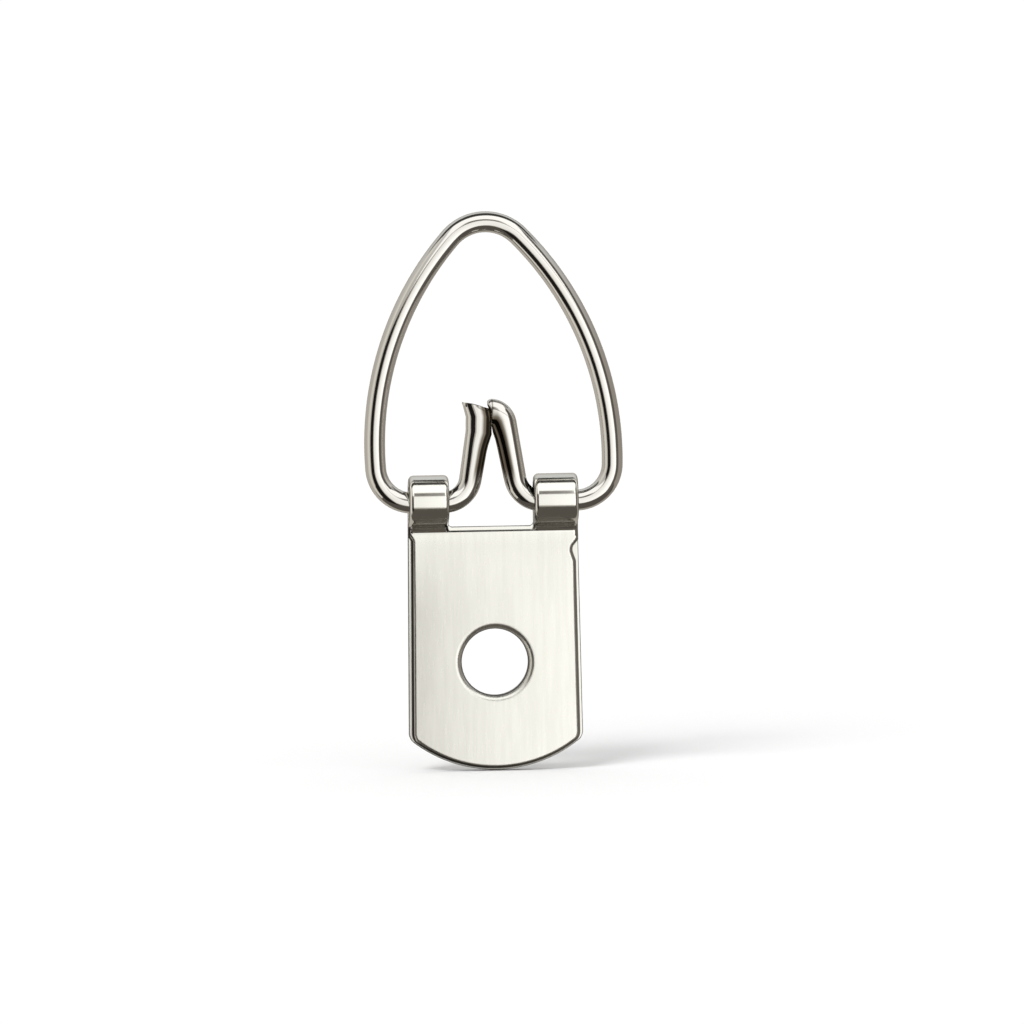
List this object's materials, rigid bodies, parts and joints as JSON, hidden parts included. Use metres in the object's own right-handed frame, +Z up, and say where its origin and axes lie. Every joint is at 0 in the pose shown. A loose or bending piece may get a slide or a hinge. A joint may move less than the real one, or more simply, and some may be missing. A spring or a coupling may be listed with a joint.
{
  "type": "picture strap hanger",
  "caption": "Folded sheet-metal strap with one screw hole and two ears at the fold, which hold a bent wire ring that swings, for hanging a picture frame.",
  "frame": {"origin": "centre of the screw hole on the strap's back face", "axes": "+X to the right and +Z up to the ring as seen from the front, -Y out of the board towards the viewer"},
  "size_m": [0.0148, 0.0028, 0.032],
  "materials": {
    "plated_sheet": "bright nickel plate over faintly brushed sheet steel, with smooth rolled edges",
    "plated_wire": "bright nickel plate over smooth drawn wire"
  },
  "bodies": {
    "strap": {"strap": "plated_sheet"},
    "ring": {"ring": "plated_wire"}
  },
  "joints": [
    {"name": "ring_swing", "type": "hinge", "parent": "strap", "child": "ring", "pos_m": [0, -0.00142, 0.00921], "axis": [1, 0, 0], "range_deg": [0, 175]}
  ]
}
